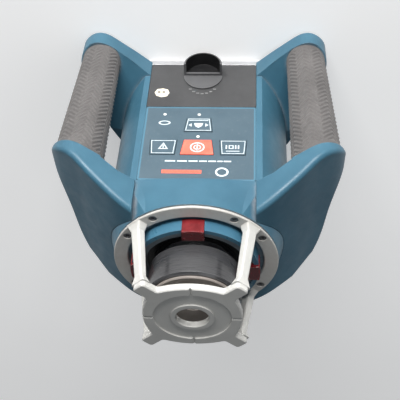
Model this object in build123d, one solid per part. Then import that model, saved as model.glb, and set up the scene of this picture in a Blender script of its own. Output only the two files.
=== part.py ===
from build123d import *
import os
from math import cos, sin, radians, sqrt

# Rotating laser level. Units are millimetres.
# Frame: +Z up along the rotor axis, z = 0 on the underside of the base plate,
# the control panel faces -Y, +X is to the right when looking at the panel.

os.makedirs("parts", exist_ok=True)

# ---------------------------------------------------------------- overall sizes
BODY_R = 58.0
WALL = 3.0
FRONT_Y = -42.0
FRONT_WALL = 4.6
BASE_T = 5.0
SHOULDER_Z = 118.0
TOP_Z = 141.0
TOP_R = 50.5
NECK_R = 39.0
NECK_WALL = 2.8
NECK_TOP_Z = 150.5
ROOF_TOP_Z = 185.0
ROOF_T = 4.0
REAR_Y = 89.0
GAP = 0.3

# ---------------------------------------------------------------- panel and door
PANEL_HALF = 36.0
PANEL_T = 1.5
DOOR_BOTTOM_Z = BASE_T + GAP
DOOR_TOP_Z = 48.6
PANEL_BOTTOM_Z = DOOR_TOP_Z + 2 * GAP
PANEL_TOP_Z = 114.8
DOOR_T = 2.4
DOOR_SEAT_Y = FRONT_Y + DOOR_T + 2 * GAP
SEAL_DEPTH = 0.8
FRONT_IN_Y = FRONT_Y + FRONT_WALL
SEAM_Y = 0.0

# ---------------------------------------------------------------- cells and bay
CELL_R = 16.65
CELL_LEN = 61.5
CELL_GAP = 0.2
CELL_X = CELL_R + CELL_GAP / 2
CELL_Z = 30.5
CELL_FRONT_Y = -32.5
BAY_HALF = 34.8
BAY_LOW_Z = CELL_Z - CELL_R - 0.55
BAY_HIGH_Z = CELL_Z + CELL_R + 0.55
BAY_WALL = 1.2
BAY_BACK_Y = CELL_FRONT_Y + CELL_LEN + 4.0
TRAY_HALF = BAY_HALF - 0.6
TRAY_LOW_Z = BAY_LOW_Z + GAP
TRAY_HIGH_Z = BAY_HIGH_Z - GAP
DOOR_IN_Y = FRONT_Y + DOOR_T
TRAY_FRONT_T = 3.0
TRAY_BACK_Y = CELL_FRONT_Y + CELL_LEN + 0.2
TRAY_BACK_T = 1.8

# ---------------------------------------------------------------- latch
LATCH_Z = 18.1
LATCH_R = 13.0
LATCH_H = 11.0
LATCH_WALL = 1.5
LATCH_LIP_H = 3.0
LATCH_SHAFT_R = 3.9
CAM_REACH = 9.0
RUN = 0.05

# ---------------------------------------------------------------- levelling unit
PIVOT_Z = 120.0
SPINDLE_R = 9.0
SPINDLE_BORE = 6.2
BEARING_R = 16.0
BEARING_W = 8.0
HOUSING_R = 20.0
PLATE_LOW_Z = 94.0
PLATE_T = 3.0
FLANGE_LOW_Z = 108.0
FLANGE_T = 4.0
PULLEY_LOW_Z = 99.5
PULLEY_H = 6.5
PULLEY_R = 13.0
MOTOR_PULLEY_R = 5.0
MOTOR_OFF = 21.0
STANDOFF_OFF = 14.8
SCREW_OFF = 42.0
SCREW_R = 2.0
NUT_TRAVEL = 3.3

# ---------------------------------------------------------------- rotor
ROTOR_R = 28.0
ROTOR_LOW_Z = 152.2
ROTOR_HIGH_Z = 173.0
ROTOR_WALL = 2.4
CAP_TOP_Z = 174.4
CAP_R = ROTOR_R - ROTOR_WALL - 0.05
PLUMB_R = 8.0
WINDOW_ANGLE = 118.0

# ---------------------------------------------------------------- cage
RING_R = 50.8
RING_BORE = 42.0
RING_LOW_Z = TOP_Z
RING_HIGH_Z = 143.8
POST_LOW_R = 47.0
POST_HIGH_R = 39.4
POST_ANGLES = (45.0, 135.0, 225.0, 315.0)
CAGE_SCREW_R = 1.4
CAGE_SCREW_SPREAD = 14.5
CAGE_SCREW_PITCH_R = 46.6

# ---------------------------------------------------------------- threads for 5/8"-11 tripod screws
THREAD_BORE = 6.75
BASE_INSERT_H = 12.0
REAR_INSERT_L = 14.0
REAR_MOUNT_Z = 66.0


def box(x0, x1, y0, y1, z0, z1):
    return Pos((x0 + x1) / 2, (y0 + y1) / 2, (z0 + z1) / 2) * Box(x1 - x0, y1 - y0, z1 - z0)


def rod(x, y, z0, z1, r):
    return Pos(x, y, (z0 + z1) / 2) * Cylinder(r, z1 - z0)


def tube(x, y, z0, z1, r, bore):
    return rod(x, y, z0, z1, r) - rod(x, y, z0 - 1, z1 + 1, bore)


def rod_y(x, z, y0, y1, r):
    return Pos(x, (y0 + y1) / 2, z) * (Rot(90, 0, 0) * Cylinder(r, y1 - y0))


def rod_x(y, z, x0, x1, r):
    return Pos((x0 + x1) / 2, y, z) * (Rot(0, 90, 0) * Cylinder(r, x1 - x0))


def turned(points):
    # solid of revolution about Z from (radius, z) points
    outline = Plane.XZ * Polygon(*points, align=None)
    return revolve(outline, axis=Axis.Z)


def front_prism(points, y0, y1):
    # (x, z) outline pulled along +Y
    face = Plane(origin=(0, y0, 0), x_dir=(1, 0, 0), z_dir=(0, -1, 0)) * Polygon(*points, align=None)
    return extrude(face, amount=y1 - y0, dir=(0, 1, 0))


def plan_prism(points, z0, z1):
    return extrude(Pos(0, 0, z0) * Polygon(*points, align=None), amount=z1 - z0, dir=(0, 0, 1))


def mirrored(shape):
    return mirror(shape, about=Plane.YZ)


def group(solids):
    return Compound(children=list(solids))


def save(shape, name):
    export_step(shape, "parts/" + name + ".step")


# ---------------------------------------------------------------- housing
outer_profile = [
    (0, BASE_T),
    (BODY_R, BASE_T),
    (BODY_R, SHOULDER_Z),
    (TOP_R, TOP_Z),
    (0, TOP_Z),
]
inner_profile = [
    (0, BASE_T),
    (BODY_R - WALL, BASE_T),
    (BODY_R - WALL, SHOULDER_Z),
    (TOP_R - WALL, TOP_Z - WALL),
    (0, TOP_Z - WALL),
]
CHIN_TOP_HALF = 35.5
CHIN_LOW_HALF = 38.5
CHIN_BACK_Y = -30.0
CHIN_LOW_Z = PANEL_TOP_Z + GAP
CHIN_SWELL = 2.4

# the block behind the body carries the rear tripod thread
REAR_HALF = 40.0
REAR_LOW_Z = 14.0
REAR_HIGH_Z = 116.0
REAR_CORNER = 12.0


def chin_section(z, half, edge_y, middle_y):
    arc = ThreePointArc((-half, edge_y, z), (0, middle_y, z), (half, edge_y, z))
    back = Polyline((half, edge_y, z), (half, CHIN_BACK_Y, z), (-half, CHIN_BACK_Y, z), (-half, edge_y, z))
    return make_face(Wire([arc] + list(back.edges())))


def chin_solid():
    low = chin_section(CHIN_LOW_Z, CHIN_LOW_HALF, FRONT_Y, FRONT_Y - CHIN_SWELL)
    top_edge = -sqrt(TOP_R ** 2 - CHIN_TOP_HALF ** 2)
    high = chin_section(TOP_Z, CHIN_TOP_HALF, top_edge, -TOP_R)
    return loft([low, high])


def rear_block(inset, back_y):
    size_x = 2 * (REAR_HALF - inset)
    size_z = REAR_HIGH_Z - REAR_LOW_Z - 2 * inset
    middle_z = (REAR_HIGH_Z + REAR_LOW_Z) / 2
    start = Plane(origin=(0, 20, middle_z), x_dir=(1, 0, 0), z_dir=(0, 1, 0))
    outline = start * RectangleRounded(size_x + 8, size_z + 4, REAR_CORNER - inset)
    end = Plane(origin=(0, back_y, middle_z), x_dir=(1, 0, 0), z_dir=(0, 1, 0))
    tail = end * RectangleRounded(size_x, size_z, REAR_CORNER - inset)
    return loft([outline, tail])


flat_cut = box(-70, 70, -90, FRONT_Y, 0, TOP_Z + 1)
inner_cut = box(-70, 70, -90, FRONT_IN_Y, 0, TOP_Z + 1)
chin = chin_solid()
envelope = turned(outer_profile) - flat_cut + chin + rear_block(0, REAR_Y)
hollow = turned(inner_profile) - inner_cut + (rear_block(WALL, REAR_Y - WALL))
shell = envelope - hollow - rod(0, 0, TOP_Z - 2 * WALL, TOP_Z + 1, NECK_R - NECK_WALL)

# recesses and openings in the flat front
shell -= box(-PANEL_HALF - GAP, PANEL_HALF + GAP, -60, DOOR_SEAT_Y, 0, DOOR_TOP_Z + GAP)
shell -= box(-BAY_HALF, BAY_HALF, -60, FRONT_IN_Y + 1, BAY_LOW_Z, BAY_HIGH_Z)
panel_seat_y = FRONT_Y + PANEL_T
shell -= box(-PANEL_HALF, PANEL_HALF, -60, panel_seat_y, PANEL_BOTTOM_Z, PANEL_TOP_Z)
seal_out = 1.0
seal_in = 0.2
seal_band = (
    box(-BAY_HALF - seal_out, BAY_HALF + seal_out, DOOR_SEAT_Y, DOOR_SEAT_Y + SEAL_DEPTH,
        BAY_LOW_Z - seal_out, BAY_HIGH_Z + seal_out)
    - box(-BAY_HALF - seal_in, BAY_HALF + seal_in, DOOR_SEAT_Y - 1, DOOR_SEAT_Y + 2,
          BAY_LOW_Z - seal_in, BAY_HIGH_Z + seal_in)
)
shell -= seal_band

# keys: name, centre x, centre z, half width at the top, half width at the bottom, half height
KEYS = (
    ("power_key", 0.6, 86.6, 10.4, 8.6, 6.4),
    ("mode_key", 0.8, 66.2, 9.0, 7.6, 6.2),
    ("left_key", -21.8, 86.6, 7.6, 8.4, 6.4),
    ("right_key", 22.2, 86.6, 7.6, 8.4, 6.4),
)
KEY_TRAVEL = 0.5
KEY_PROUD = 0.35


def key_prism(cx, cz, top, bottom, half, grow, y0, y1):
    return front_prism(
        [
            (cx - bottom - grow, cz - half - grow),
            (cx + bottom + grow, cz - half - grow),
            (cx + top + grow, cz + half + grow),
            (cx - top - grow, cz + half + grow),
        ],
        y0,
        y1,
    )


LIGHTS = ((23.2, 56.4), (0.8, 56.4), (0.6, 77.0))
LIGHT_R = 1.1
for name, cx, cz, top, bottom, half in KEYS:
    shell -= key_prism(cx, cz, top, bottom, half, GAP, -60, FRONT_IN_Y + 1)
for lx, lz in LIGHTS:
    shell -= rod_y(lx, lz, -60, FRONT_IN_Y + 1, LIGHT_R)

# rear seat for the aluminium mount plate and its thread insert
MOUNT_HALF_X = 27.0
MOUNT_HALF_Z = 30.0
MOUNT_T = 3.0
shell -= box(-MOUNT_HALF_X, MOUNT_HALF_X, REAR_Y - 1.5, REAR_Y + 5,
             REAR_MOUNT_Z - MOUNT_HALF_Z, REAR_MOUNT_Z + MOUNT_HALF_Z)
REAR_INSERT_R = 11.0
shell -= rod_y(0, REAR_MOUNT_Z, REAR_Y - 20, REAR_Y + 5, REAR_INSERT_R)
FOOT_R = 7.0
FOOT_SPOTS = [(sx * 31.0, z) for sx in (-1, 1) for z in (26.0, 104.0)]
for fx, fz in FOOT_SPOTS:
    shell -= rod_y(fx, fz, REAR_Y - 1.5, REAR_Y + 5, FOOT_R)

# screws that clamp the two halves, driven from behind through long posts
HOUSING_SCREWS = [(sx * 49.5, z) for sx in (-1, 1) for z in (40.0, 109.0)]
POST_BACK_Y = 24.0
POST_R = 3.6
posts = None
for hx, hz in HOUSING_SCREWS:
    post = rod_y(hx, hz, -22, POST_BACK_Y, POST_R)
    posts = post if posts is None else posts + post
shell += posts - rear_block(WALL, REAR_Y - WALL)
for hx, hz in HOUSING_SCREWS:
    shell -= rod_y(hx, hz, -18, POST_BACK_Y - 2, 1.5)
    shell -= rod_y(hx, hz, POST_BACK_Y - 2, 80, 3.2)

# holes in the top wall for the cage screws
CAGE_SCREW_SPOTS = []
for angle in POST_ANGLES:
    for side in (-1, 1):
        a = radians(angle + side * CAGE_SCREW_SPREAD)
        CAGE_SCREW_SPOTS.append((CAGE_SCREW_PITCH_R * cos(a), CAGE_SCREW_PITCH_R * sin(a)))
for sx, sy in CAGE_SCREW_SPOTS:
    shell -= rod(sx, sy, TOP_Z - 10, TOP_Z + 1, CAGE_SCREW_R)

# bosses and holes for the base screws
BASE_SCREW_R = 51.6
BASE_SCREW_SPOTS = [(BASE_SCREW_R * cos(radians(a)), BASE_SCREW_R * sin(radians(a))) for a in (30, 78, 102, 150, 212, 328)]
for bx, by in BASE_SCREW_SPOTS:
    shell += rod(bx, by, BASE_T, 11.5, 3.6)
    shell -= rod(bx, by, BASE_T - 1, 10.5, 1.5)

front_half = box(-130, 130, -130, SEAM_Y, 0, 200)
rear_half = box(-130, 130, SEAM_Y, 130, 0, 200)
front_housing = shell & front_half
rear_housing = shell & rear_half
save(front_housing, "front_housing")
save(rear_housing, "rear_housing")

# ---------------------------------------------------------------- handles
GRIP_LOW = (69.0, -52.5, 12.3)
GRIP_HIGH = (73.5, -43.5, 112.0)
GRIP_LOW_R = 12.7
GRIP_HIGH_R = 16.0
CORE_LOW_R = 8.0
CORE_HIGH_R = 10.0
CUT_X = 73.0
CUT_Z = 102.0
CUT_SLOPE = 19.4


def between(low_r, high_r, grow=0.0):
    low = Pos(*GRIP_LOW) * Circle(low_r + grow)
    high = Pos(*GRIP_HIGH) * Circle(high_r + grow)
    return loft([low, high])


def above_cut(gap):
    # everything above the slanted end of the grip
    block = Pos(0, 0, 60 + gap) * Box(200, 260, 120)
    return Pos(CUT_X, -45, CUT_Z) * (Rot(0, CUT_SLOPE, 0) * block)


def front_shape(curve, rest, y0, y1):
    # outline in (x, z): a smooth curve closed by straight sides, pulled along +Y
    smooth = Spline([(x, y0, z) for x, z in curve])
    sides = Polyline([(x, y0, z) for x, z in [curve[-1]] + rest + [curve[0]]])
    return extrude(make_face(Wire([smooth] + list(sides.edges()))), amount=y1 - y0, dir=(0, 1, 0))


def plan_shape(curve, rest, z0, z1):
    # outline in (x, y): a smooth curve closed by straight sides, pulled along +Z
    smooth = Spline([(x, y, z0) for x, y in curve])
    sides = Polyline([(x, y, z0) for x, y in [curve[-1]] + rest + [curve[0]]])
    return extrude(make_face(Wire([smooth] + list(sides.edges()))), amount=z1 - z0, dir=(0, 0, 1))


ARM_HEAD = [
    (26, 143.2), (36, 141.2), (46, 136.2), (55, 129.4), (65, 120.9), (74, 112.6), (82, 106.0), (88, 100.0), (91, 93.0),
]
ARM_FRONT = [
    (30, -41.6), (38, -46.2), (46, -50.4), (56, -54.8), (65, -58.8), (73, -61.4), (81, -59.6), (87.2, -54.0),
    (90.6, -46.0), (90.4, -36.0), (87.4, -24.0), (83.4, -8.0), (80.0, 14.0), (75.0, 30.0),
]
ARM_WALL = 9.0
ARM_EDGE_R = 3.0
ARM_POCKET_Y = -30.0
arm_low = [(91, 80), (70, 80), (58, 100), (57, 108.6), (46, 115.5), (37, 117.5), (26, 118.0)]
upper = front_shape(ARM_HEAD, arm_low, -70, 60) & plan_shape(ARM_FRONT, [(62, 42), (30, 46)], 60, 160)
upper &= above_cut(0)
soft_edges = [
    e for e in upper.edges()
    if (e @ 0.5).Y < -44 and (e @ 0.5).Z > CUT_Z + 2 and e.length > 20
]
upper = fillet(soft_edges, ARM_EDGE_R)
under_curve = [(x - 0.55 * ARM_WALL, z - 0.82 * ARM_WALL) for x, z in ARM_HEAD]
upper -= front_shape(under_curve, [(80, 60), (16, 60)], ARM_POCKET_Y, 70)

LOWER_FRONT = [
    (30, -38), (36.6, -42.6), (47, -51.5), (58, -60.2), (65, -65.0), (71, -66.4), (77, -64.0),
    (81.6, -58.5), (83.0, -51.5), (81.0, -42.0), (76.0, -28.0), (68.5, -10.0), (60.0, 8.0),
]
lower_rest = [(50, 24), (30, 24)]
LOWER_TOP_Z = 12.3
WALL_MEET_Z = 31.0
lower_band = [
    (30, 3.2), (30, 16.5), (46, 15.0), (58, LOWER_TOP_Z), (84, LOWER_TOP_Z), (84, 2.0), (66, 1.2), (52, 2.2),
]
lower = front_prism(lower_band, -80, 60) & plan_shape(LOWER_FRONT, lower_rest, 0, 40)
# the wall behind the lower arm climbs from the band to a line round the body
SLOPE_FRONT = Vector(44, -49.5, 15.0)
SLOPE_TIP = Vector(66, -63.5, 11.8)
SLOPE_BODY = Vector(57, -10, 29)
slope_normal = (SLOPE_TIP - SLOPE_FRONT).cross(SLOPE_BODY - SLOPE_FRONT).normalized()
slope_plane = Plane(origin=SLOPE_FRONT, z_dir=slope_normal)
wall = plan_shape(LOWER_FRONT, lower_rest, 4.0, WALL_MEET_Z)
wall -= slope_plane * (Pos(0, 0, 60) * Box(300, 300, 120))
lower += wall

sleeve_space = between(GRIP_LOW_R, GRIP_HIGH_R, 0.05) - above_cut(0)
core = between(CORE_LOW_R, CORE_HIGH_R) - above_cut(1.0)
handle_envelope = turned(outer_profile) - flat_cut + chin + rear_block(0, REAR_Y)
handle_envelope += rod(0, 0, -1, BASE_T, BODY_R) - box(-70, 70, -90, FRONT_Y, -2, BASE_T + 1)
ARM_ROOT_X = 36.2
right_handle = (upper + lower - sleeve_space) + core
right_handle = right_handle - handle_envelope - rod(0, 0, TOP_Z, 200, RING_R + GAP)
right_handle = right_handle - box(-60, ARM_ROOT_X, -90, 90, 0, 200)
right_sleeve = between(GRIP_LOW_R, GRIP_HIGH_R) - between(CORE_LOW_R, CORE_HIGH_R, 0.05)
right_sleeve = right_sleeve - above_cut(-0.1)
save(right_handle, "right_handle")
save(mirrored(right_handle), "left_handle")
save(right_sleeve, "right_grip")
save(mirrored(right_sleeve), "left_grip")

# ---------------------------------------------------------------- neck collar, windows, cover
NECK_IN_R = NECK_R - NECK_WALL
WINDOW_HALF = 6.6
WINDOW_IN_R = 31.4
WINDOW_OUT_R = NECK_R + 0.6
WINDOW_TOP_Z = NECK_TOP_Z + 2.0
neck = tube(0, 0, TOP_Z, NECK_TOP_Z, NECK_R, NECK_IN_R)
neck += tube(0, 0, TOP_Z - WALL - 1.6, TOP_Z, NECK_IN_R, NECK_IN_R - 1.6)
neck += tube(0, 0, TOP_Z, TOP_Z + 1.6, NECK_IN_R + 0.01, NECK_IN_R - 1.6)
windows = []
receivers = []
for turn in (0, 90, 180, 270):
    cut = Rot(0, 0, turn) * box(-WINDOW_HALF, WINDOW_HALF, -50, -WINDOW_IN_R + 0.5, TOP_Z + 1.6, 160)
    neck -= cut
    block = box(-WINDOW_HALF + 0.1, WINDOW_HALF - 0.1, -50, -WINDOW_IN_R, TOP_Z + 1.7, WINDOW_TOP_Z)
    block &= tube(0, 0, TOP_Z, 160, WINDOW_OUT_R, WINDOW_IN_R)
    core_cut = box(-WINDOW_HALF + 1.2, WINDOW_HALF - 1.2, -WINDOW_OUT_R + 1.4, -20, TOP_Z, WINDOW_TOP_Z - 1.4)
    block = Rot(0, 0, turn) * (block - core_cut)
    windows.append(block.solids()[0])
    diode = box(-2.6, 2.6, -37.0, -34.6, TOP_Z + 1.6, TOP_Z + 6.6)
    receivers.append(Rot(0, 0, turn) * diode)
save(neck, "neck_collar")
save(group(windows), "ir_windows")
save(group(receivers), "ir_receivers")
COVER_BORE = 23.6
COVER_RIM_R = 32.1
cover = tube(0, 0, TOP_Z + 1.7, TOP_Z + 3.2, COVER_RIM_R + 1.2, COVER_BORE)
cover += tube(0, 0, TOP_Z + 3.2, TOP_Z + 4.6, COVER_BORE + 2.0, COVER_BORE)
cover += tube(0, 0, TOP_Z + 3.2, NECK_TOP_Z - 1.2, COVER_RIM_R + 1.2, COVER_RIM_R)
cover += tube(0, 0, NECK_TOP_Z - 2.6, NECK_TOP_Z - 1.2, NECK_IN_R - 0.05, COVER_RIM_R)
for turn in (0, 90, 180, 270):
    cover -= Rot(0, 0, turn) * box(-WINDOW_HALF, WINDOW_HALF, -50, -WINDOW_IN_R + 0.1, TOP_Z + 1, 160)
save(cover, "neck_cover")

# ---------------------------------------------------------------- cage
ring = turned([
    (RING_BORE, RING_LOW_Z), (RING_R - 1.4, RING_LOW_Z), (RING_R - 1.4, RING_LOW_Z + 1.2),
    (RING_R - 0.3, RING_LOW_Z + 1.3), (RING_R, RING_LOW_Z + 1.7),
    (RING_R, RING_HIGH_Z - 0.5), (RING_R - 0.5, RING_HIGH_Z),
    (RING_BORE + 0.5, RING_HIGH_Z), (RING_BORE, RING_HIGH_Z - 0.5),
])
POST_LOW_Z = RING_LOW_Z + 1.5
POST_HIGH_Z = ROOF_TOP_Z - ROOF_T + 0.5
POST_LOW_W = 7.4
POST_HIGH_W = 6.0
POST_DEPTH = 5.0
FOOT_RISE = 5.0
FOOT_SPREAD = 2.6


def post_plane(z):
    share = (z - POST_LOW_Z) / (POST_HIGH_Z - POST_LOW_Z)
    return POST_LOW_R + (POST_HIGH_R - POST_LOW_R) * share


def post_section(z, width, depth):
    return Pos(post_plane(z), 0, z) * RectangleRounded(depth, width, 1.2)


post_shape = loft([
    post_section(POST_LOW_Z, POST_LOW_W, POST_DEPTH + 0.6),
    post_section(POST_HIGH_Z, POST_HIGH_W, POST_DEPTH - 0.4),
])
foot_shape = loft([
    post_section(POST_LOW_Z, POST_LOW_W + 2 * FOOT_SPREAD, POST_DEPTH + 2.4),
    post_section(POST_LOW_Z + FOOT_RISE, POST_LOW_W, POST_DEPTH + 0.5),
])
head_shape = loft([
    post_section(POST_HIGH_Z - 5.0, POST_HIGH_W, POST_DEPTH - 0.3),
    post_section(POST_HIGH_Z, POST_HIGH_W + 5.0, POST_DEPTH + 0.6),
])
ROOF_HALF = 29.2
ROOF_CORNER = 23.0
ROOF_ARM_HALF = 4.6
ROOF_BORE = 10.0
roof_low_z = ROOF_TOP_Z - ROOF_T
# a square with bowed sides, reaching out to the posts with four short arms
side_arc = ThreePointArc((-ROOF_CORNER, -ROOF_CORNER), (0, -ROOF_HALF), (ROOF_CORNER, -ROOF_CORNER))
roof_outline = make_face(Wire([Rot(0, 0, turn) * side_arc for turn in (0, 90, 180, 270)]))
roof = extrude(Pos(0, 0, roof_low_z) * roof_outline, amount=ROOF_T, dir=(0, 0, 1))
for angle in POST_ANGLES:
    arm = box(ROOF_CORNER, POST_HIGH_R + 2.6, -ROOF_ARM_HALF, ROOF_ARM_HALF, roof_low_z, ROOF_TOP_Z)
    arm = fillet(arm.edges().filter_by(Axis.Z).group_by(Axis.X)[-1], 2.4)
    roof += Rot(0, 0, angle) * arm
roof = fillet(roof.edges().filter_by(Axis.Z), 2.2)
roof = chamfer(roof.edges().group_by(Axis.Z)[-1], 0.7)
roof -= rod(0, 0, roof_low_z - 1, ROOF_TOP_Z + 1, ROOF_BORE)
roof -= tube(0, 0, ROOF_TOP_Z - 1.0, ROOF_TOP_Z + 1, 23.0, ROOF_BORE + 3.0)
for turn in (0, 90, 180, 270):
    groove = Pos(0, -ROOF_HALF + 3, ROOF_TOP_Z) * (Rot(0, 45, 0) * Box(1.6, 7, 1.6))
    roof -= Rot(0, 0, turn) * groove
cage = ring + roof
for angle in POST_ANGLES:
    cage += Rot(0, 0, angle) * post_shape
    cage += Rot(0, 0, angle) * foot_shape
    cage += Rot(0, 0, angle) * head_shape
CAGE_HEAD_R = 2.3
CAGE_HEAD_H = 1.2
CAGE_SEAT_Z = RING_LOW_Z + 1.0
screws = []
for sx, sy in CAGE_SCREW_SPOTS:
    cage -= rod(sx, sy, CAGE_SEAT_Z, CAGE_SEAT_Z + 4.5, CAGE_HEAD_R + 0.25)
    cage -= rod(sx, sy, RING_LOW_Z - 1, CAGE_SEAT_Z + 1, CAGE_SCREW_R)
    screw = rod(sx, sy, CAGE_SEAT_Z, CAGE_SEAT_Z + CAGE_HEAD_H, CAGE_HEAD_R)
    screw += rod(sx, sy, TOP_Z - 8, CAGE_SEAT_Z, CAGE_SCREW_R - 0.1)
    socket = extrude(Pos(sx, sy, CAGE_SEAT_Z + 0.4) * RegularPolygon(1.3, 6), amount=2)
    screws.append(screw - socket)
save(cage, "cage")
save(group(screws), "cage_screws")

# ---------------------------------------------------------------- base
base = rod(0, 0, 0, BASE_T, BODY_R - 1.0) - box(-70, 70, -90, FRONT_Y, -1, BASE_T + 1)
base = chamfer(base.edges().group_by(Axis.Z)[0], 0.8)
INSERT_R = 11.0
base -= rod(0, 0, -1, BASE_T + 1, INSERT_R)
base_screws = []
for bx, by in BASE_SCREW_SPOTS:
    base -= rod(bx, by, -1, 2.2, 3.2)
    base -= rod(bx, by, 0, BASE_T + 1, 1.7)
    screw = rod(bx, by, 0.6, 2.2, 2.9) + rod(bx, by, 2.2, 10.0, 1.4)
    socket = extrude(Pos(bx, by, 0) * RegularPolygon(1.4, 6), amount=1.4)
    base_screws.append(screw - socket)
save(base, "base_plate")
insert = rod(0, 0, 0, BASE_INSERT_H - 0.1, INSERT_R - 0.05) + rod(0, 0, BASE_T, BASE_T + 2.4, 15.0)
insert -= rod(0, 0, -1, BASE_INSERT_H + 1, THREAD_BORE)
save(insert, "base_thread_insert")

# ---------------------------------------------------------------- rear mount
mount = box(-MOUNT_HALF_X + 0.1, MOUNT_HALF_X - 0.1, REAR_Y - 1.5, REAR_Y - 1.5 + MOUNT_T,
            REAR_MOUNT_Z - MOUNT_HALF_Z + 0.1, REAR_MOUNT_Z + MOUNT_HALF_Z - 0.1)
mount = fillet(mount.edges().filter_by(Axis.Y), 4.0)
rear_insert_back = REAR_Y - 1.5 + MOUNT_T
mount -= rod_y(0, REAR_MOUNT_Z, REAR_Y - 5, REAR_Y + 5, REAR_INSERT_R)
rear_insert = rod_y(0, REAR_MOUNT_Z, rear_insert_back - REAR_INSERT_L, rear_insert_back, REAR_INSERT_R - 0.05)
rear_insert -= rod_y(0, REAR_MOUNT_Z, REAR_Y - 30, REAR_Y + 5, THREAD_BORE)
mount_screws = []
for sx in (-1, 1):
    for sz in (-1, 1):
        mx = sx * (MOUNT_HALF_X - 6.5)
        mz = REAR_MOUNT_Z + sz * (MOUNT_HALF_Z - 6.5)
        mount -= rod_y(mx, mz, REAR_Y - 0.4, REAR_Y + 5, 3.2)
        mount -= rod_y(mx, mz, REAR_Y - 5, REAR_Y + 5, 1.7)
        screw = rod_y(mx, mz, REAR_Y - 0.4, REAR_Y + 1.0, 2.9)
        head_cut = rod_y(mx, mz, REAR_Y + 0.2, REAR_Y + 2.0, 1.3)
        mount_screws.append(screw - head_cut)
save(mount, "rear_mount_plate")
save(rear_insert, "rear_thread_insert")
save(group(base_screws + mount_screws), "plate_screws")
FOOT_H = 4.0
feet = []
for fx, fz in FOOT_SPOTS:
    foot = rod_y(fx, fz, REAR_Y - 1.5, REAR_Y - 1.5 + FOOT_H, FOOT_R - 0.1)
    feet.append(chamfer(foot.edges().group_by(Axis.Y)[-1], 0.8))
save(group(feet), "rear_feet")
housing_screws = []
for hx, hz in HOUSING_SCREWS:
    screw = rod_y(hx, hz, -16, POST_BACK_Y - 2, 1.4) + rod_y(hx, hz, POST_BACK_Y - 2, POST_BACK_Y + 0.4, 2.8)
    housing_screws.append(screw - rod_y(hx, hz, POST_BACK_Y - 1, POST_BACK_Y + 2, 1.3))
save(group(housing_screws), "housing_screws")

# ---------------------------------------------------------------- control panel and keys
panel = box(-PANEL_HALF + 0.1, PANEL_HALF - 0.1, FRONT_Y, panel_seat_y, PANEL_BOTTOM_Z + 0.1, PANEL_TOP_Z - 0.1)
panel = fillet(panel.edges().filter_by(Axis.Y), 1.2)
KEY_BACK_Y = FRONT_IN_Y - 0.3
for name, cx, cz, top, bottom, half in KEYS:
    panel -= key_prism(cx, cz, top, bottom, half, GAP, -60, 0)
    save(key_prism(cx, cz, top, bottom, half, 0.0, FRONT_Y - KEY_PROUD, KEY_BACK_Y), name)
lights = []
for lx, lz in LIGHTS:
    panel -= rod_y(lx, lz, -60, 0, LIGHT_R)
    lights.append(rod_y(lx, lz, FRONT_Y - 0.2, FRONT_IN_Y + 0.2, LIGHT_R - 0.05))
save(panel, "control_panel")
save(group(lights), "status_lights")
BOARD_Y = FRONT_IN_Y + 2.4
BOARD_T = 1.6
board = box(-33, 33, BOARD_Y, BOARD_Y + BOARD_T, BAY_HIGH_Z + BAY_WALL + 4, 112)
board += box(-26, -12, BOARD_Y + BOARD_T, BOARD_Y + BOARD_T + 1.6, 92, 106)
board += box(8, 20, BOARD_Y + BOARD_T, BOARD_Y + BOARD_T + 1.4, 90, 100)
board += box(-8, 2, BOARD_Y + BOARD_T, BOARD_Y + BOARD_T + 2.4, 60, 68)
domes = []
for name, cx, cz, top, bottom, half in KEYS:
    dome = rod_y(cx, cz, BOARD_Y - 1.2, BOARD_Y, 3.0)
    domes.append(chamfer(dome.edges().group_by(Axis.Y)[0], 0.5))
save(group([board] + domes), "main_board")

# ---------------------------------------------------------------- battery door, tray, cells
door = box(-PANEL_HALF, PANEL_HALF, FRONT_Y, DOOR_IN_Y, DOOR_BOTTOM_Z, DOOR_TOP_Z)
door = fillet(door.edges().filter_by(Axis.Y), 1.2)
door -= rod_y(0, LATCH_Z, -60, 0, LATCH_SHAFT_R + RUN)
save(door, "battery_door")
cam_room = rod_y(0, LATCH_Z, -60, DOOR_IN_Y + TRAY_FRONT_T, CAM_REACH + 1.2)
tray = box(-TRAY_HALF, TRAY_HALF, DOOR_IN_Y, DOOR_IN_Y + TRAY_FRONT_T, TRAY_LOW_Z, TRAY_HIGH_Z) - cam_room
rail_y0 = DOOR_IN_Y + TRAY_FRONT_T
rail_y1 = TRAY_BACK_Y + TRAY_BACK_T
tray += box(-TRAY_HALF, TRAY_HALF, TRAY_BACK_Y, rail_y1, TRAY_LOW_Z, TRAY_HIGH_Z)
for x0, x1, z0, z1 in (
    (-3.5, 3.5, TRAY_LOW_Z, TRAY_LOW_Z + 3.6),
    (-3.5, 3.5, TRAY_HIGH_Z - 3.6, TRAY_HIGH_Z),
    (TRAY_HALF - 3.4, TRAY_HALF, TRAY_LOW_Z, TRAY_LOW_Z + 3.4),
    (-TRAY_HALF, -TRAY_HALF + 3.4, TRAY_LOW_Z, TRAY_LOW_Z + 3.4),
    (TRAY_HALF - 3.4, TRAY_HALF, TRAY_HIGH_Z - 3.4, TRAY_HIGH_Z),
    (-TRAY_HALF, -TRAY_HALF + 3.4, TRAY_HIGH_Z - 3.4, TRAY_HIGH_Z),
):
    tray += box(x0, x1, rail_y0 - 0.5, rail_y1, z0, z1)
tray -= cam_room
save(tray, "battery_tray")
for name, side in (("left_cell", -1), ("right_cell", 1)):
    cell_back = CELL_FRONT_Y + CELL_LEN
    cell = rod_y(side * CELL_X, CELL_Z, CELL_FRONT_Y, cell_back - 1.4, CELL_R)
    cell = fillet(cell.edges().filter_by(GeomType.CIRCLE), 1.0)
    cell += rod_y(side * CELL_X, CELL_Z, cell_back - 2.4, cell_back, 5.0)
    save(cell, name)
SPRING_WIRE_R = 0.45
springs = []
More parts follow.
